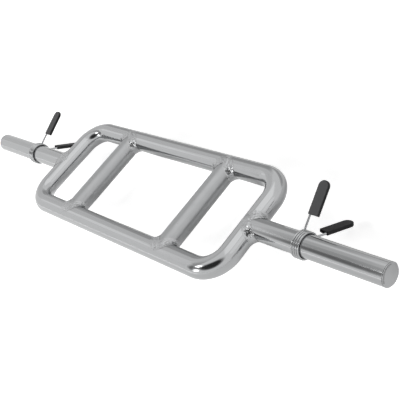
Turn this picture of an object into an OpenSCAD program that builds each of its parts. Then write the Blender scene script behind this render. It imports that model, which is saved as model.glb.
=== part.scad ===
// Triceps bar: an oblong tube frame with two cross grips, a loading sleeve at each end,
// and a torsion spring collar on each sleeve.
// Origin at the bar's centre, on the sleeves' axis. +X along the sleeves, +Z square to the frame.

/* [Tube] */
// Outside diameter of every tube in the bar
tube_d = 30; // [26:0.5:32]
// Wall of every tube
tube_wall = 4; // [2:0.25:5]

/* [Frame] */
// Length of the frame over the outer sides of its end rails
frame_length = 462; // [400:2:500]
// Width of the frame over the outer sides of its front and back rails
frame_width = 189; // [160:1:230]
// Radius of the frame's bends at the middle of the tube
bend_r = 35; // [30:0.5:44]
// Distance between the middles of the two cross grips
grip_spacing = 222; // [160:1:240]

/* [Sleeves] */
// Length of the whole bar from end face to end face
bar_length = 860; // [800:2:980]
// Thickness of the end plug's flange
plug_flange = 2.5; // [2.5:0.25:6]
// Bevel round the flange's outer face
face_bevel = 1.75; // [0.5:0.25:2]
// Bevel on the flange's inner rim and on the sleeve's mouth
plug_bevel = 0.3; // [0.2:0.05:0.45]
// Depth that the plug reaches into the sleeve
plug_depth = 14; // [8:1:30]
// Gap between the plug's spigot and the tube's bore
plug_fit = 0.05; // [0.02:0.01:0.3]

/* [Welds] */
// Leg of each weld fillet along the tubes that it joins
weld_leg = 8; // [5:0.5:10]
// Height of the bead above the two tubes where they run level
weld_rise = 1; // [0.6:0.1:1.6]
// Gap between a coped end and the tube that it butts on
cope_gap = 0.05; // [0.03:0.01:0.2]
// Gap between a weld and the tubes under it
weld_gap = 0.16; // [0.14:0.01:0.3]

/* [Spring collars] */
// Distance from the bar's centre to the middle of the right collar
right_collar_x = 305; // [270:1:390]
// Distance from the bar's centre to the middle of the left collar
left_collar_x = 312; // [270:1:390]
// Angle by which the left collar is turned on its sleeve against the right one
left_collar_turn = -6; // [-20:1:20]
// Diameter of the spring wire
wire_d = 2.8; // [2.4:0.1:3]
// Whole turns of the coil between its two arms
coil_turns = 4; // [3:1:6]
// Gap between neighbouring turns
turn_gap = 0.46; // [0.45:0.01:1]
// Gap between the sleeve and the inside of the coil
coil_gap = 0.45; // [0.3:0.05:1]
// Radius of the bends by which the coil runs out into its arms
arm_bend_r = 4; // [3.5:0.25:6]

/* [Collar handles] */
// Angle of the upper handle above the frame's plane
upper_angle = 25; // [15:1:40]
// Angle of the lower handle below the frame's plane
lower_angle = 31; // [20:1:45]
// Distance by which the lower arm's line passes over the sleeve's axis
lower_offset = 6.5; // [0:0.5:9]
// Angle by which the lower handle leans out to +X
lower_lean = 11; // [0:1:15]
// Bare wire between the coil's upper bend and the grip
upper_reach = 16.5; // [10:0.5:30]
// Bare wire between the coil's lower bend and the grip
lower_reach = 13; // [10:0.5:30]
// Length of a handle's grip
paddle_length = 44.5; // [35:0.5:60]
// Width of a handle's grip, and the diameter of its round tip
paddle_width = 15.5; // [13:0.5:20]
// Thickness of a handle's grip
paddle_thick = 4.9; // [4.8:0.1:7]
// Rounding along the edges of a handle's grip
paddle_edge = 1.1; // [0.5:0.1:1.8]
// Wall of a handle's grip round its socket
paddle_wall = 0.85; // [0.6:0.05:0.9]
// Gap between the wire and the sides of its socket
socket_fit = 0.2; // [0.1:0.05:0.3]
// Depth inside the mouth where the wire's free end stops
tail_inset = 8; // [4:0.5:20]

/* [Hidden] */
$fn = 96;

// The tubes and where their centre lines run
tube_r = tube_d / 2;
bore_r = tube_r - tube_wall;
end_rail_x = frame_length / 2 - tube_r;
side_rail_y = frame_width / 2 - tube_r;
grip_x = grip_spacing / 2;
sleeve_end = bar_length / 2 - plug_flange;
cope_r = tube_r + cope_gap;
seam_r = tube_r + weld_gap;
overrun = 1;

// The coil: its middle radius, its pitch, and the angles where it leaves for its arms
coil_r = tube_r + coil_gap + wire_d / 2;
coil_pitch = wire_d + turn_gap;
bend_centre_r = coil_r + arm_bend_r;
lower_local = asin((lower_offset + arm_bend_r) / bend_centre_r);
upper_local = -asin(arm_bend_r / bend_centre_r);
coil_start = lower_local - lower_angle;
coil_sweep = 360 * coil_turns + upper_angle + upper_local - coil_start;
coil_half = coil_pitch * coil_sweep / 720;
turn_rings = 24;
bend_rings = 7;
wire_sides = 6;

// Where each bend ends and its arm starts, in the plane of that handle
lower_arm_y = bend_centre_r * cos(lower_local);
upper_arm_y = bend_centre_r * cos(upper_local);
lower_bend_angle = 90 - lower_local;
upper_bend_angle = 90 + upper_local;
lean_drift = tan(lower_lean) * arm_bend_r * lower_bend_angle * PI / 360;
lower_arm_x = coil_half + lean_drift;

// The hairpin of wire inside each handle's grip
socket_w = paddle_width - 2 * paddle_wall;
socket_t = paddle_thick - 2 * paddle_wall;
hairpin_r = (socket_w - 2 * socket_fit - wire_d) / 2;
paddle_straight = paddle_length - paddle_width / 2;

// The welds: stations round the joint, and points along the bead's face and along its foot
weld_stations = 72;
face_steps = 5;
foot_steps = 4;
toe_rounding = 0.6;

// One quarter bend of the frame, from the end rail's line to the side rail's line
module bend(r) {
    rotate([0, 0, -90])
        rotate_extrude(angle = 90)
            translate([bend_r, 0]) circle(r = r);
}

// Half of the frame's loop as a solid rod: a side rail, two bends and two half end rails
module half_loop(r, extra) {
    side_half = end_rail_x - bend_r;
    stub = side_rail_y - bend_r + extra;
    translate([-side_half, -side_rail_y, 0]) rotate([0, 90, 0]) cylinder(r = r, h = 2 * side_half);
    for (s = [0, 1]) mirror([s, 0, 0]) {
        translate([side_half, bend_r - side_rail_y, 0]) bend(r);
        translate([end_rail_x, bend_r - side_rail_y, 0]) rotate([-90, 0, 0]) cylinder(r = r, h = stub);
    }
}

module half_frame() {
    color("silver") difference() {
        half_loop(tube_r, 0);
        half_loop(bore_r, overrun);
    }
}

module front_frame_tube() { half_frame(); }
module back_frame_tube() { rotate([0, 0, 180]) half_frame(); }

// A straight tube along +Y, and a rod that copes its end to fit another tube
module tube_y(from, to) {
    difference() {
        translate([0, from, 0]) rotate([-90, 0, 0]) cylinder(r = tube_r, h = to - from);
        translate([0, from - overrun, 0]) rotate([-90, 0, 0])
            cylinder(r = bore_r, h = to - from + 2 * overrun);
    }
}

module cope_x(y) {
    translate([-2 * tube_d, y, 0]) rotate([0, 90, 0]) cylinder(r = cope_r, h = 4 * tube_d);
}

module grip_bar(x) {
    color("silver") translate([x, 0, 0]) difference() {
        tube_y(-side_rail_y, side_rail_y);
        cope_x(-side_rail_y);
        cope_x(side_rail_y);
    }
}

module left_grip_bar() { grip_bar(-grip_x); }
module right_grip_bar() { grip_bar(grip_x); }

// A sleeve runs from the end rail to its plug, along +Y here before it is turned into place
module sleeve() {
    color("silver") difference() {
        tube_y(end_rail_x, sleeve_end);
        cope_x(end_rail_x);
        translate([0, sleeve_end, 0]) rotate([-90, 0, 0]) mouth_bevel();
    }
}

// The ring cut from the rim of the sleeve's mouth
module mouth_bevel() {
    rotate_extrude()
        polygon([
            [tube_r - plug_bevel, 0], [tube_r, -plug_bevel],
            [tube_r + overrun, -plug_bevel], [tube_r + overrun, overrun],
            [tube_r - plug_bevel, overrun]
        ]);
}

// The plug: a spigot with a lead-in, and a flange of the tube's diameter with a broad outer bevel
module end_plug() {
    spigot_r = bore_r - plug_fit;
    color("silver") translate([0, sleeve_end, 0]) rotate([-90, 0, 0]) rotate_extrude()
        polygon([
            [0, -plug_depth], [spigot_r - plug_bevel, -plug_depth],
            [spigot_r, plug_bevel - plug_depth], [spigot_r, 0],
            [tube_r - plug_bevel, 0], [tube_r, plug_bevel],
            [tube_r, plug_flange - face_bevel], [tube_r - face_bevel, plug_flange],
            [0, plug_flange]
        ]);
}

module to_right() { rotate([0, 0, -90]) children(); }
module to_left() { rotate([0, 0, 90]) children(); }

module left_sleeve() { to_left() sleeve(); }
module right_sleeve() { to_right() sleeve(); }
module left_end_plug() { to_left() end_plug(); }
module right_end_plug() { to_right() end_plug(); }

// A weld fillet round a tee of two equal tubes: the rail along X, the branch along +Y.
// At station a round the branch, the seam, the toe on the branch and the toe on the rail:
function seam_at(a) = [seam_r * cos(a), seam_r * abs(cos(a)), seam_r * sin(a)];
function branch_toe(a) = seam_at(a) + [0, weld_leg, 0];
function on_rail(a, u) =
    let (
        seam_angle = asin(sin(a)),
        leg_angle = weld_leg / seam_r * 180 / PI,
        toe_angle = (1 - toe_rounding) * seam_angle + (toe_rounding * 90 + leg_angle) * sin(a),
        t = seam_angle + u * (toe_angle - seam_angle)
    )
    [(seam_r + u * weld_leg) * cos(a), seam_r * cos(t), seam_r * sin(t)];

// The bead's middle stands off the seam along the line between the two tubes' normals
function bead_middle(a) =
    let (
        n = [cos(a), abs(cos(a)), 2 * sin(a)],
        level = sin(a) * sin(a),
        hollow = weld_leg * tan(acos(level) / 4),
        rise = weld_rise * (1 + 2 * level) / 3
    )
    seam_at(a) + n / norm(n) * (hollow + rise);

function bead_face(a, u) =
    let (g = branch_toe(a), r = on_rail(a, 1), c = 2 * bead_middle(a) - (g + r) / 2)
    (1 - u) * (1 - u) * g + 2 * u * (1 - u) * c + u * u * r;

function weld_section(a) = concat(
    [for (i = [0 : face_steps]) bead_face(a, i / face_steps)],
    [for (i = [1 : foot_steps]) on_rail(a, 1 - i / foot_steps)]
);

// Faces of a closed ring, or of a capped tube, of equal sections: quads cut into triangles
function strip(i, j, k) = [
    for (s = [0 : k - 1])
        let (a = i * k + s, b = i * k + (s + 1) % k, c = j * k + (s + 1) % k, d = j * k + s)
            each [[a, b, c], [a, c, d]]
];

module tee_weld() {
    k = face_steps + foot_steps + 1;
    n = weld_stations;
    points = [for (i = [0 : n - 1]) each weld_section((i + 0.5) * 360 / n)];
    faces = [for (i = [0 : n - 1]) each strip(i, (i + 1) % n, k)];
    color("gainsboro") polyhedron(points = points, faces = faces);
}

module grip_weld(x, side) {
    translate([x, -side * side_rail_y, 0]) rotate([0, 0, side > 0 ? 0 : 180]) tee_weld();
}

module left_front_grip_weld() { grip_weld(-grip_x, 1); }
module left_back_grip_weld() { grip_weld(-grip_x, -1); }
module right_front_grip_weld() { grip_weld(grip_x, 1); }
module right_back_grip_weld() { grip_weld(grip_x, -1); }
module left_sleeve_weld() { to_left() translate([0, end_rail_x, 0]) tee_weld(); }
module right_sleeve_weld() { to_right() translate([0, end_rail_x, 0]) tee_weld(); }

// The coil's centre line, from the lower arm to the upper one.
// A point given in a handle's plane, turned about the sleeve's axis by that handle's angle:
function turned(p, a) = [p[0], p[1] * cos(a) - p[2] * sin(a), p[1] * sin(a) + p[2] * cos(a)];

// The lower bend, from the arm (u = 0) to the coil (u = 1), drifting out to meet the leaning arm
function lower_bend(u) =
    let (t = 270 - u * lower_bend_angle)
    turned([
        coil_half + lean_drift * (1 - u) * (1 - u),
        lower_arm_y + arm_bend_r * cos(t),
        lower_offset + arm_bend_r + arm_bend_r * sin(t)
    ], -lower_angle);

// The upper bend, from the coil (u = 0) to the arm (u = 1)
function upper_bend(u) =
    let (t = 180 + upper_local - u * upper_bend_angle)
    turned([
        -coil_half,
        upper_arm_y + arm_bend_r * cos(t),
        arm_bend_r * (sin(t) - 1)
    ], upper_angle);

function helix(u) =
    let (t = coil_start + u * coil_sweep)
    [coil_half * (1 - 2 * u), coil_r * cos(t), coil_r * sin(t)];

helix_rings = round(coil_sweep / 360 * turn_rings);
lower_start = turned([
    lower_arm_x + wire_d * sin(lower_lean), lower_arm_y + wire_d * cos(lower_lean), lower_offset
], -lower_angle);
upper_end = turned([-coil_half, upper_arm_y + wire_d, 0], upper_angle);
coil_line = concat(
    [lower_start],
    [for (i = [0 : bend_rings - 1]) lower_bend(i / bend_rings)],
    [for (i = [0 : helix_rings]) helix(i / helix_rings)],
    [for (i = [1 : bend_rings]) upper_bend(i / bend_rings)],
    [upper_end]
);

// The least gap between the wire and itself, over points more than half a turn apart
least_gap = min([
    for (i = [0 : len(coil_line) - 1], j = [i + turn_rings / 2 : 1 : len(coil_line) - 1])
        norm(coil_line[i] - coil_line[j])
]) - wire_d;
echo(least_gap_in_coil = least_gap);

function unit(v) = v / norm(v);
function tangent(line, i) = unit(line[min(i + 1, len(line) - 1)] - line[max(i - 1, 0)]);

// A ring of the wire, laid out from the sleeve's axis so that neighbouring rings don't twist
function wire_ring(line, i) =
    let (
        t = tangent(line, i),
        u = unit([1, 0, 0] - t[0] * t),
        v = cross(t, u)
    )
    [for (s = [0 : wire_sides - 1])
        let (a = 360 * s / wire_sides)
            line[i] + wire_d / 2 * (cos(a) * u + sin(a) * v)];

module collar_coil() {
    n = len(coil_line);
    k = wire_sides;
    points = [for (i = [0 : n - 1]) each wire_ring(coil_line, i)];
    sides = [for (i = [0 : n - 2]) each strip(i, i + 1, k)];
    caps = concat(
        [for (s = [1 : k - 2]) [0, s + 1, s]],
        [for (s = [1 : k - 2]) [(n - 1) * k, (n - 1) * k + s, (n - 1) * k + s + 1]]
    );
    color("gainsboro") polyhedron(
        points = points,
        faces = [for (f = concat(sides, caps)) [f[0], f[2], f[1]]]
    );
}

// The place where each arm starts: +Y out along the arm, Z across the grip's thickness
module at_upper_arm() {
    rotate([upper_angle, 0, 0]) translate([-coil_half, upper_arm_y, 0]) children();
}

module at_lower_arm() {
    rotate([-lower_angle, 0, 0]) translate([lower_arm_x, lower_arm_y, lower_offset])
        rotate([0, 0, -lower_lean]) children();
}

module wire_y(x, from, to) {
    translate([x, from, 0]) rotate([-90, 0, 0]) cylinder(r = wire_d / 2, h = to - from, $fn = 32);
}

// An arm: the straight leg from the coil's end, the hairpin at the grip's tip, and the tail.
// side is 1 where the grip lies to +X of the leg, and -1 where it lies to -X.
module arm(reach, side) {
    loop_y = reach + paddle_straight;
    color("gainsboro") {
        wire_y(0, wire_d, loop_y);
        wire_y(side * 2 * hairpin_r, reach + tail_inset, loop_y);
        translate([side * hairpin_r, loop_y, 0]) rotate_extrude(angle = 180)
            translate([hairpin_r, 0]) circle(d = wire_d, $fn = 32);
    }
}

// Half of the grip's section for its round tip, and the whole section for its straight part
module edge_rounded(x0, x1) {
    y = paddle_thick / 2;
    e = paddle_edge;
    translate([x0, -y]) square([x1 - e - x0, 2 * y]);
    translate([x0, e - y]) square([x1 - x0, 2 * (y - e)]);
    for (s = [-1, 1]) translate([x1 - e, s * (y - e)]) circle(r = e, $fn = 32);
}

module paddle_section() {
    for (s = [0, 1]) mirror([s, 0]) edge_rounded(0, paddle_width / 2);
}

// A handle's grip: a flat moulded cap with a round tip and an open mouth for the wire
module handle_grip(reach, side) {
    color("#2e2e2e") translate([side * hairpin_r, reach, 0]) difference() {
        union() {
            rotate([90, 0, 180]) linear_extrude(height = paddle_straight) paddle_section();
            translate([0, paddle_straight, 0]) rotate_extrude(angle = 180)
                edge_rounded(0, paddle_width / 2);
        }
        translate([-socket_w / 2, -overrun, -socket_t / 2])
            cube([socket_w, paddle_straight + overrun, socket_t]);
        translate([0, paddle_straight, -socket_t / 2]) cylinder(d = socket_w, h = socket_t);
    }
}

module at_right_collar() { translate([right_collar_x, 0, 0]) children(); }
module at_left_collar() {
    translate([-left_collar_x, 0, 0]) rotate([left_collar_turn, 0, 0]) children();
}

module right_collar_coil() { at_right_collar() collar_coil(); }
module right_upper_arm() { at_right_collar() at_upper_arm() arm(upper_reach, 1); }
module right_lower_arm() { at_right_collar() at_lower_arm() arm(lower_reach, -1); }
module right_upper_handle_grip() { at_right_collar() at_upper_arm() handle_grip(upper_reach, 1); }
module right_lower_handle_grip() { at_right_collar() at_lower_arm() handle_grip(lower_reach, -1); }
module left_collar_coil() { at_left_collar() collar_coil(); }
module left_upper_arm() { at_left_collar() at_upper_arm() arm(upper_reach, 1); }
module left_lower_arm() { at_left_collar() at_lower_arm() arm(lower_reach, -1); }
module left_upper_handle_grip() { at_left_collar() at_upper_arm() handle_grip(upper_reach, 1); }
module left_lower_handle_grip() { at_left_collar() at_lower_arm() handle_grip(lower_reach, -1); }

front_frame_tube();
back_frame_tube();
left_grip_bar();
right_grip_bar();
left_front_grip_weld();
left_back_grip_weld();
right_front_grip_weld();
right_back_grip_weld();
left_sleeve();
right_sleeve();
left_sleeve_weld();
right_sleeve_weld();
left_end_plug();
right_end_plug();
right_collar_coil();
right_upper_arm();
right_lower_arm();
right_upper_handle_grip();
right_lower_handle_grip();
left_collar_coil();
left_upper_arm();
left_lower_arm();
left_upper_handle_grip();
left_lower_handle_grip();
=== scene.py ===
import math

import bpy
from mathutils import Matrix, Vector


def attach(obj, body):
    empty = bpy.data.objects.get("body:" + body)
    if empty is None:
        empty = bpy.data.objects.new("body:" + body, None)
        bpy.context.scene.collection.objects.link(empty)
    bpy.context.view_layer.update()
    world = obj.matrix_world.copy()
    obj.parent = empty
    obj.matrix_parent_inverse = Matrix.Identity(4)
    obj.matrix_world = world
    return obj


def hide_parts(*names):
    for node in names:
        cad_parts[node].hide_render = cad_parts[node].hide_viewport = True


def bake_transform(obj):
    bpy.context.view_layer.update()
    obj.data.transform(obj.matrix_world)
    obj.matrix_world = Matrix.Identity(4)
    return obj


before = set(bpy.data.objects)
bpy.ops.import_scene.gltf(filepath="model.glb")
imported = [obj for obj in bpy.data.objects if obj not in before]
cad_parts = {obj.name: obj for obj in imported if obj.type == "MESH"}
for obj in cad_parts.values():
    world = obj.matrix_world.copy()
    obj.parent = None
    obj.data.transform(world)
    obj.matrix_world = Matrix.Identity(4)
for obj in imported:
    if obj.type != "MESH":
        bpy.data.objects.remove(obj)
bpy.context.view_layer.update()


# The camera. It stands to the right of the bar and well above it, and is rolled over,
# so that the bar runs from the upper left of the picture to the lower right.
# Its place and turn were fitted to the outlines of the tubes in the photograph.
bpy.ops.object.camera_add()
camera = bpy.context.object
camera.name = "camera"
camera_place = Vector((0.875658, -0.329500, 0.658843))
camera_right = Vector((0.658553, 0.595762, -0.459756))
camera_up = Vector((-0.219739, 0.736554, 0.639690))
camera_back = camera_right.cross(camera_up)
camera_turn = Matrix((camera_right, camera_up, camera_back)).transposed()
camera.matrix_world = Matrix.Translation(camera_place) @ camera_turn.to_4x4()
camera.data.sensor_width = 36
camera.data.lens = 69.769
camera.data.clip_start = 0.05
camera.data.clip_end = 60
bpy.context.scene.camera = camera
bpy.context.scene.view_settings.view_transform = "Standard"


# The studio's floor: a level sheet of seamless white paper, just under the lowest points of the
# bar, which are the tips of its two lower handles. The paper is lit from below as well, which
# keeps the shadows on it faint.
def add_node(tree, kind, inputs=None, **settings):
    """Adds a node with its settings, and gives each named input a value or a link."""
    new = tree.nodes.new(kind)
    for name, value in settings.items():
        setattr(new, name, value)
    for name, value in (inputs or {}).items():
        if isinstance(value, bpy.types.NodeSocket):
            tree.links.new(value, new.inputs[name])
        else:
            new.inputs[name].default_value = value
    return new


def linear(code):
    """An sRGB colour, written as six hex digits, as the linear colour that a socket takes."""
    parts = [int(code[i:i + 2], 16) / 255 for i in (0, 2, 4)]
    curve = [c / 12.92 if c <= 0.04045 else ((c + 0.055) / 1.055) ** 2.4 for c in parts]
    return (*curve, 1.0)


def seen_directly(tree):
    """1 for what the camera sees, by itself, in metal or through glass, and 0 for light."""
    ray = add_node(tree, "ShaderNodeLightPath").outputs
    metal = add_node(tree, "ShaderNodeMath", {0: ray["Is Camera Ray"], 1: ray["Is Glossy Ray"]},
                     operation="MAXIMUM")
    glass = add_node(tree, "ShaderNodeMath", {0: metal.outputs[0], 1: ray["Is Transmission Ray"]},
                     operation="MAXIMUM")
    return glass.outputs[0]


floor_size = 9
floor_gap = 0.0002
glow_in_metal = 0.28
glow_in_picture = 0.77
lowest = min(
    vertex.co.z
    for node in ("left_lower_handle_grip", "right_lower_handle_grip")
    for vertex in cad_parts[node].data.vertices
)
bpy.ops.object.select_all(action="DESELECT")
bpy.ops.mesh.primitive_plane_add(size=floor_size, location=(0, 0, lowest - floor_gap))
floor = bpy.context.object
floor.name = "paper_floor"
bpy.ops.object.transform_apply(location=True, rotation=True, scale=True)
paper = bpy.data.materials.new("white_studio_paper")
paper.use_nodes = True
tree = paper.node_tree
tree.nodes.clear()
matt = add_node(tree, "ShaderNodeBsdfDiffuse", {"Color": linear("D8D8D8")})
to_camera = add_node(tree, "ShaderNodeLightPath").outputs["Is Camera Ray"]
share = add_node(tree, "ShaderNodeMapRange",
                 {"Value": to_camera, "To Min": glow_in_metal, "To Max": glow_in_picture})
strength = add_node(tree, "ShaderNodeMath", {0: seen_directly(tree), 1: share.outputs[0]},
                    operation="MULTIPLY")
glow = add_node(tree, "ShaderNodeEmission",
                {"Color": linear("FFFFFF"), "Strength": strength.outputs[0]})
both = add_node(tree, "ShaderNodeAddShader", {0: matt.outputs[0], 1: glow.outputs[0]})
add_node(tree, "ShaderNodeOutputMaterial", {"Surface": both.outputs[0]})
floor.data.materials.append(paper)


# The studio's light: a white surround, which also fills the background, a large softbox overhead,
# two small bright boxes in front, which leave the white spots in the bends, and a large soft key
# light in front, which the metal doesn't show. Together they light the bar at a plain level.
# Matt surfaces get surround_level of the surround; polished ones and the camera see it white.
world = bpy.data.worlds.new("white_surround")
bpy.context.scene.world = world
world.use_nodes = True
tree = world.node_tree
tree.nodes.clear()
surround_level = 0.19
level = add_node(tree, "ShaderNodeMapRange",
                 {"Value": seen_directly(tree), "To Min": surround_level, "To Max": 1.0})
surround = add_node(tree, "ShaderNodeBackground",
                    {"Color": linear("FFFFFF"), "Strength": level.outputs[0]})
add_node(tree, "ShaderNodeOutputWorld", {"Surface": surround.outputs[0]})


def softbox(name, place, target, width, height, brightness):
    """An area lamp that faces a point. A brightness of 1 is as bright as the surround looks."""
    data = bpy.data.lights.new(name, "AREA")
    data.shape = "RECTANGLE"
    data.size = width
    data.size_y = height
    data.energy = brightness * math.pi * width * height
    lamp = bpy.data.objects.new(name, data)
    bpy.context.scene.collection.objects.link(lamp)
    lamp.location = place
    lamp.rotation_euler = (Vector(target) - Vector(place)).to_track_quat("-Z", "Y").to_euler()
    return lamp


middle_of_bar = (0, 0, 0)
right_front_bend = (0.2, -0.06, 0)
softbox("overhead_softbox", (0.25, 0.8, 2.0), middle_of_bar, 2.0, 1.1, 0.32)
softbox("front_strip_box_low", (-0.52, -2.26, 0.94), right_front_bend, 0.50, 0.62, 5.5)
softbox("front_strip_box_high", (-0.66, -1.29, 2.00), right_front_bend, 0.52, 0.42, 5.5)
key = softbox("front_key_softbox", (-1.4, -2.4, 1.5), middle_of_bar, 2.2, 1.3, 15.5)
key.visible_glossy = False


# Dark, grey and white cards stand round the bar, out of the picture, as they do wherever chrome
# is photographed. Only mirror images show them: they give the metal its darker and lighter bands.
def card(name, azimuth, elevation, width, height, level,
         tilt=0, core=0.5, distance=3.0, seen_from=0.0):
    """A card with soft edges that faces the bar at seen_from along it. A level of 1 is white,
    angles are in degrees and sizes in metres, and core is how much of the card is at full level."""
    a, e = math.radians(azimuth), math.radians(elevation)
    outward = Vector((math.cos(a) * math.cos(e), math.sin(a) * math.cos(e), math.sin(e)))
    bpy.ops.object.select_all(action="DESELECT")
    bpy.ops.mesh.primitive_plane_add(size=2)     # 1 each way, as far as the fade below reaches
    panel = bpy.context.object
    panel.name = name
    facing = outward.to_track_quat("Z", "Y").to_matrix()
    tilted = facing @ Matrix.Rotation(math.radians(tilt), 3, "Z")
    place = Vector((seen_from, 0, 0)) + outward * distance
    panel.matrix_world = Matrix.LocRotScale(place, tilted, (width / 2, height / 2, 1))
    paint = bpy.data.materials.new(name + "_paint")
    paint.use_nodes = True
    tree = paint.node_tree
    tree.nodes.clear()
    where = add_node(tree, "ShaderNodeTexCoord")
    fade = add_node(tree, "ShaderNodeTexGradient", {"Vector": where.outputs["Object"]},
                    gradient_type="SPHERICAL")
    cover = add_node(tree, "ShaderNodeMapRange",
                     {"Value": fade.outputs["Fac"], "From Max": 1 - core},
                     interpolation_type="SMOOTHSTEP")
    face = add_node(tree, "ShaderNodeEmission", {"Strength": level})
    clear = add_node(tree, "ShaderNodeBsdfTransparent")
    mixed = add_node(tree, "ShaderNodeMixShader",
                     {"Fac": cover.outputs[0], 1: clear.outputs[0], 2: face.outputs[0]})
    add_node(tree, "ShaderNodeOutputMaterial", {"Surface": mixed.outputs[0]})
    panel.data.materials.append(paint)
    panel.visible_camera = False
    panel.visible_diffuse = False
    panel.visible_shadow = False
    panel.visible_transmission = False


card("grey_card_behind", 157, 25, 3.0, 3.6, 0.84, distance=3.1)
card("grey_card_behind_left", 134, 12, 2.2, 3.6, 0.50)
card("grey_band_behind", 92, 8, 5.0, 1.5, 0.52, distance=3.2)
card("grey_card_right", 9, 0, 1.8, 1.3, 0.52, core=0.2)
card("white_card_right", 20, 38, 1.7, 2.4, 1.15, distance=3.1)
card("dark_card_in_front", -63, 49, 5.2, 4.1, 0.04, distance=3.3, core=0.48)
card("dark_card_between_strips", -113, 39, 1.5, 0.60, 0.22, core=0.35, seen_from=0.2)
card("narrow_dark_card_low", -134, 32, 1.2, 2.8, 0.22, tilt=26, core=0.25, seen_from=0.40)
card("narrow_dark_card_high", -154, 51, 0.9, 2.4, 0.52, tilt=54, core=0.3, seen_from=0.35)
card("grey_card_high_left", 178, 59, 3.4, 1.0, 0.70, distance=3.15)
card("white_card_left", -168, 36, 1.5, 1.1, 1.15, distance=3.12)


# The bar's tubes: steel tube of 30 mm with a 4 mm wall, bent, welded, ground and then plated
# all over with bright chromium. Chromium is a neutral grey metal that mirrors what stands round it;
# the plating follows the tube's faint waves and carries a thin haze from handling.
def chromium(name, colour, roughness, haze, wave_mm, wave_depth_mm):
    """Chromium plate. haze is how far the roughness wanders, and the waves are the steel's."""
    metal = bpy.data.materials.new(name)
    metal.use_nodes = True
    tree = metal.node_tree
    shader = tree.nodes["Principled BSDF"]
    shader.inputs["Base Color"].default_value = linear(colour)
    shader.inputs["Metallic"].default_value = 1.0
    smear_mm = 14
    where = add_node(tree, "ShaderNodeTexCoord").outputs["Object"]
    smear = add_node(tree, "ShaderNodeTexNoise",
                     {"Vector": where, "Scale": 1000 / smear_mm, "Detail": 3.0, "Roughness": 0.6})
    wander = add_node(tree, "ShaderNodeMapRange",
                      {"Value": smear.outputs["Fac"], "From Min": 0.3, "From Max": 0.7,
                       "To Min": roughness - haze, "To Max": roughness + haze})
    tree.links.new(wander.outputs[0], shader.inputs["Roughness"])
    waves = add_node(tree, "ShaderNodeTexNoise",
                     {"Vector": where, "Scale": 1000 / wave_mm, "Detail": 1.0})
    bump = add_node(tree, "ShaderNodeBump",
                    {"Height": waves.outputs["Fac"], "Strength": 1.0,
                     "Distance": wave_depth_mm / 1000})
    tree.links.new(bump.outputs[0], shader.inputs["Normal"])
    return metal


def finish_node(node, material):
    """Gives a CAD node a material in place of the plain one that it was packed with."""
    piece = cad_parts[node]
    for place in piece.material_slots:
        place.material = material


chromium_grey = "B4B5B6"
frame_plate = chromium("bright_chromium_on_frame", chromium_grey, 0.13, 0.06, 24, 0.10)
for node in ("front_frame_tube", "back_frame_tube"):
    finish_node(node, frame_plate)


# The two sleeves that take the plates. They are the straightest of the tubes, and the holes of
# the plates rub them bright, so they mirror the most clearly.
sleeve_plate = chromium("bright_chromium_on_sleeves", chromium_grey, 0.09, 0.03, 45, 0.06)
for node in ("left_sleeve", "right_sleeve"):
    finish_node(node, sleeve_plate)


# The two cross grips, of the same tube. Hands and the belt have left them a finer, softer shine
# than the rails have, and their plate is given a darker grey than the rails'.
grip_plate = chromium("satin_chromium_on_grips", "A6A7A8", 0.32, 0.06, 30, 0.05)
for node in ("left_grip_bar", "right_grip_bar"):
    finish_node(node, grip_plate)


# The weld beads round the grips' ends and the sleeves' roots, ground to a hollow fillet and
# plated with the rest. The bead stays a little lumpy, which shows as small glints.
merge_distance = 0.000002


def smooth_copy(node, name, limit):
    """A copy of a CAD node's mesh with its triangles joined and shaded smooth up to an angle."""
    bpy.ops.object.select_all(action="DESELECT")
    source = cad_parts[node]
    piece = bpy.data.objects.new(name, source.data.copy())
    piece.data.name = name
    bpy.context.scene.collection.objects.link(piece)
    bpy.context.view_layer.objects.active = piece
    piece.select_set(True)
    if piece.data.has_custom_normals:
        bpy.ops.mesh.customdata_custom_splitnormals_clear()
    bpy.ops.object.mode_set(mode="EDIT")
    bpy.ops.mesh.select_all(action="SELECT")
    bpy.ops.mesh.remove_doubles(threshold=merge_distance)
    bpy.ops.object.mode_set(mode="OBJECT")
    bpy.ops.object.shade_smooth_by_angle(angle=math.radians(limit))
    return piece


def blend_toes(bead, corner, branch, rail):
    """Where the bead runs out on a tube it was ground flush, so there it is shaded as the tube."""
    toe_radius, toe_play, least_facing = 0.01516, 0.00003, 0.25
    mesh = bead.data
    normals = [Vector(corner_normal.vector) for corner_normal in mesh.corner_normals]
    for face in mesh.polygons:
        for loop in face.loop_indices:
            place = mesh.vertices[mesh.loops[loop].vertex_index].co - corner
            for axis in (branch, rail):
                radial = place - axis * place.dot(axis)
                at_toe = abs(radial.length - toe_radius) < toe_play
                if at_toe and face.normal.dot(radial) > least_facing * radial.length:
                    normals[loop] = radial.normalized()
    mesh.normals_split_custom_set(normals)


weld_plate = chromium("bright_chromium_on_weld", chromium_grey, 0.20, 0.05, 3.4, 1.2)
along_x, along_y = Vector((1, 0, 0)), Vector((0, 1, 0))
grip_x, rail_y, root_x = 0.111, 0.0795, 0.216
for node, corner, branch, rail in (
    ("left_front_grip_weld", (-grip_x, -rail_y, 0), along_y, along_x),
    ("left_back_grip_weld", (-grip_x, rail_y, 0), along_y, along_x),
    ("right_front_grip_weld", (grip_x, -rail_y, 0), along_y, along_x),
    ("right_back_grip_weld", (grip_x, rail_y, 0), along_y, along_x),
    ("left_sleeve_weld", (-root_x, 0, 0), along_x, along_y),
    ("right_sleeve_weld", (root_x, 0, 0), along_x, along_y),
):
    bead = smooth_copy(node, node + "_bead", limit=50)
    blend_toes(bead, Vector(corner), branch, rail)
    bead.data.materials.clear()
    bead.data.materials.append(weld_plate)
    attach(bead, "bar")
    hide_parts(node)
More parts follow.
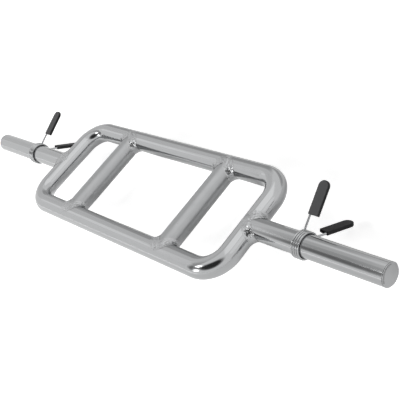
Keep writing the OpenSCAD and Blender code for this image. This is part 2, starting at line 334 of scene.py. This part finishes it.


# The end plugs: turned steel, pressed into the sleeves' mouths and plated. The lathe's file has
# eased the bevel, so the rim is shaded as a round one between the flat face and the side, and a
# thin near black ring is painted at the seam where the plug's flange meets the tube: painted shade.
plug_plate = chromium("bright_chromium_on_plug", chromium_grey, 0.14, 0.03, 20, 0.02)
tree = plug_plate.node_tree
where = add_node(tree, "ShaderNodeTexCoord").outputs["Object"]
along = add_node(tree, "ShaderNodeSeparateXYZ", {"Vector": where})
from_middle = add_node(tree, "ShaderNodeMath", {0: along.outputs["X"]}, operation="ABSOLUTE")
# The plug is coloured near black short of the seam, so a thin ring shows there: painted shade.
seam_shade_ends, plate_starts = 0.4280, 0.4284
out_of_seam_shade = add_node(tree, "ShaderNodeMapRange", {"Value": from_middle.outputs[0],
                                              "From Min": seam_shade_ends, "From Max": plate_starts})
colours = {0: out_of_seam_shade.outputs[0], 6: linear("141414"), 7: linear(chromium_grey)}     # 6 is A, 7 is B
seam = add_node(tree, "ShaderNodeMix", colours, data_type="RGBA")
tree.links.new(seam.outputs[2], tree.nodes["Principled BSDF"].inputs["Base Color"])
bevel_flattest, bevel_steepest = 0.4, 0.9
side_radius, face_radius = 0.0149, 0.0125
for node in ("left_end_plug", "right_end_plug"):
    plug = smooth_copy(node, node + "_turned", limit=20)
    mesh = plug.data
    normals = [Vector(corner_normal.vector) for corner_normal in mesh.corner_normals]
    for face in mesh.polygons:
        if bevel_flattest < abs(face.normal.x) < bevel_steepest and face.area > 0:
            for loop in face.loop_indices:
                place = mesh.vertices[mesh.loops[loop].vertex_index].co
                across = Vector((0, place.y, place.z))
                if across.length > side_radius:
                    normals[loop] = across.normalized()
                elif across.length > face_radius:
                    normals[loop] = Vector((math.copysign(1, face.normal.x), 0, 0))
    mesh.normals_split_custom_set(normals)
    mesh.materials.clear()
    mesh.materials.append(plug_plate)
    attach(plug, "bar")
    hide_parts(node)


# The collars' wire: hard-drawn spring wire of 2.8 mm, wound and bent cold, then plated.
# The coil is one unbroken piece with both arms; it is drawn in two halves here, each of which
# runs on from its own handle's arm.
wire_plate = chromium("bright_chromium_on_spring_wire", "B0B1B2", 0.10, 0.03, 8, 0.02)
wire_radius = 0.0014
coil_radius = 0.01685
coil_turns = 4
coil_pitch = 0.00326
bend_radius = 0.004
upper_angle = math.radians(25)
lower_angle = math.radians(31)
lower_offset = 0.0065
lower_lean = math.radians(11)
bend_centre = coil_radius + bend_radius
lower_local = math.asin((lower_offset + bend_radius) / bend_centre)
upper_local = -math.asin(bend_radius / bend_centre)
coil_start = lower_local - lower_angle
coil_sweep = math.tau * coil_turns + upper_angle + upper_local - coil_start
coil_half = coil_pitch * coil_sweep / (2 * math.tau)
lower_bend = math.pi / 2 - lower_local
upper_bend = math.pi / 2 + upper_local
drift = math.tan(lower_lean) * bend_radius * lower_bend / 2


def turned(x, y, z, angle):
    """A point of a handle's plane, turned with that plane about the sleeve's axis."""
    c, s = math.cos(angle), math.sin(angle)
    return Vector((x, y * c - z * s, y * s + z * c))


def lower_bend_point(u):
    """A point of the lower bend, from the arm at 0 to the coil at 1."""
    t = 3 * math.pi / 2 - u * lower_bend
    x = coil_half + drift * (1 - u) ** 2
    y = bend_centre * math.cos(lower_local) + bend_radius * math.cos(t)
    z = lower_offset + bend_radius + bend_radius * math.sin(t)
    return turned(x, y, z, -lower_angle)


def upper_bend_point(u):
    """A point of the upper bend, from the coil at 0 to the arm at 1."""
    t = math.pi + upper_local - u * upper_bend
    y = bend_centre * math.cos(upper_local) + bend_radius * math.cos(t)
    z = bend_radius * (math.sin(t) - 1)
    return turned(-coil_half, y, z, upper_angle)


def coil_point(u):
    """A point of the coil, from its lower end at 0 to its upper end at 1."""
    t = coil_start + u * coil_sweep
    return Vector((coil_half * (1 - 2 * u), coil_radius * math.cos(t), coil_radius * math.sin(t)))


stub = 2 * wire_radius
lower_end = turned(coil_half + drift + stub * math.sin(lower_lean),
                   bend_centre * math.cos(lower_local) + stub * math.cos(lower_lean),
                   lower_offset, -lower_angle)
upper_end = turned(-coil_half, bend_centre * math.cos(upper_local) + stub, 0, upper_angle)
half_rings = 120
bend_rings = 14
halves = {
    "lower": [lower_end] + [lower_bend_point(i / bend_rings) for i in range(bend_rings)]
    + [coil_point(0.5 * i / half_rings) for i in range(half_rings + 1)],
    "upper": [upper_end] + [upper_bend_point(1 - i / bend_rings) for i in range(bend_rings)]
    + [coil_point(1 - 0.5 * i / half_rings) for i in range(half_rings + 1)],
}


def wire_along(name, points, radius):
    """A round wire that follows a line of points, with closed ends."""
    curve = bpy.data.curves.new(name, "CURVE")
    curve.dimensions = "3D"
    curve.bevel_depth = radius
    curve.bevel_resolution = 4
    curve.use_fill_caps = True
    line = curve.splines.new("POLY")
    line.points.add(len(points) - 1)
    for place, point in zip(line.points, points):
        place.co = (*point, 1)
    piece = bpy.data.objects.new(name, curve)
    bpy.context.scene.collection.objects.link(piece)
    bpy.ops.object.select_all(action="DESELECT")
    bpy.context.view_layer.objects.active = piece
    piece.select_set(True)
    bpy.ops.object.convert(target="MESH")
    piece = bpy.context.object
    bpy.ops.object.mode_set(mode="EDIT")
    bpy.ops.mesh.select_all(action="SELECT")
    bpy.ops.mesh.remove_doubles(threshold=merge_distance)
    bpy.ops.mesh.normals_make_consistent(inside=False)
    bpy.ops.object.mode_set(mode="OBJECT")
    bpy.ops.object.shade_smooth_by_angle(angle=math.radians(60))
    return piece


for side, collar_x, turn_by in (("right", 0.305, 0), ("left", -0.312, -6)):
    middle = Vector((collar_x, 0, 0))
    collar_turn = Matrix.Rotation(math.radians(turn_by), 3, "X")
    for half, reach in (("lower", coil_half), ("upper", -coil_half)):
        points = [middle + collar_turn @ point for point in halves[half]]
        piece = wire_along(side + "_coil_" + half + "_half", points, wire_radius)
        piece.data.materials.append(wire_plate)
        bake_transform(piece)
        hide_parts(side + "_collar_coil")
        finish_node(side + "_" + half + "_arm", wire_plate)


# The handles' grips: flat caps of black PVC, moulded over a former and pushed onto the wire's
# hairpin. The skin is semi-matt, with a faint grain from the mould.
vinyl = bpy.data.materials.new("black_moulded_pvc")
vinyl.use_nodes = True
tree = vinyl.node_tree
shader = tree.nodes["Principled BSDF"]
shader.inputs["Base Color"].default_value = linear("464647")
shader.inputs["Specular IOR Level"].default_value = 0.07
grain_mm = 1.2
where = add_node(tree, "ShaderNodeTexCoord").outputs["Object"]
grain = add_node(tree, "ShaderNodeTexNoise",
                 {"Vector": where, "Scale": 1000 / grain_mm, "Detail": 3.0, "Roughness": 0.7})
sheen = add_node(tree, "ShaderNodeMapRange",
                 {"Value": grain.outputs["Fac"], "From Min": 0.3, "From Max": 0.7,
                  "To Min": 0.38, "To Max": 0.55})
tree.links.new(sheen.outputs[0], shader.inputs["Roughness"])
skin = add_node(tree, "ShaderNodeBump",
                {"Height": grain.outputs["Fac"], "Strength": 0.35, "Distance": 0.0001})
tree.links.new(skin.outputs[0], shader.inputs["Normal"])
for side in ("left", "right"):
    for half in ("upper", "lower"):
        finish_node(side + "_" + half + "_handle_grip", vinyl)


bpy.context.view_layer.update()
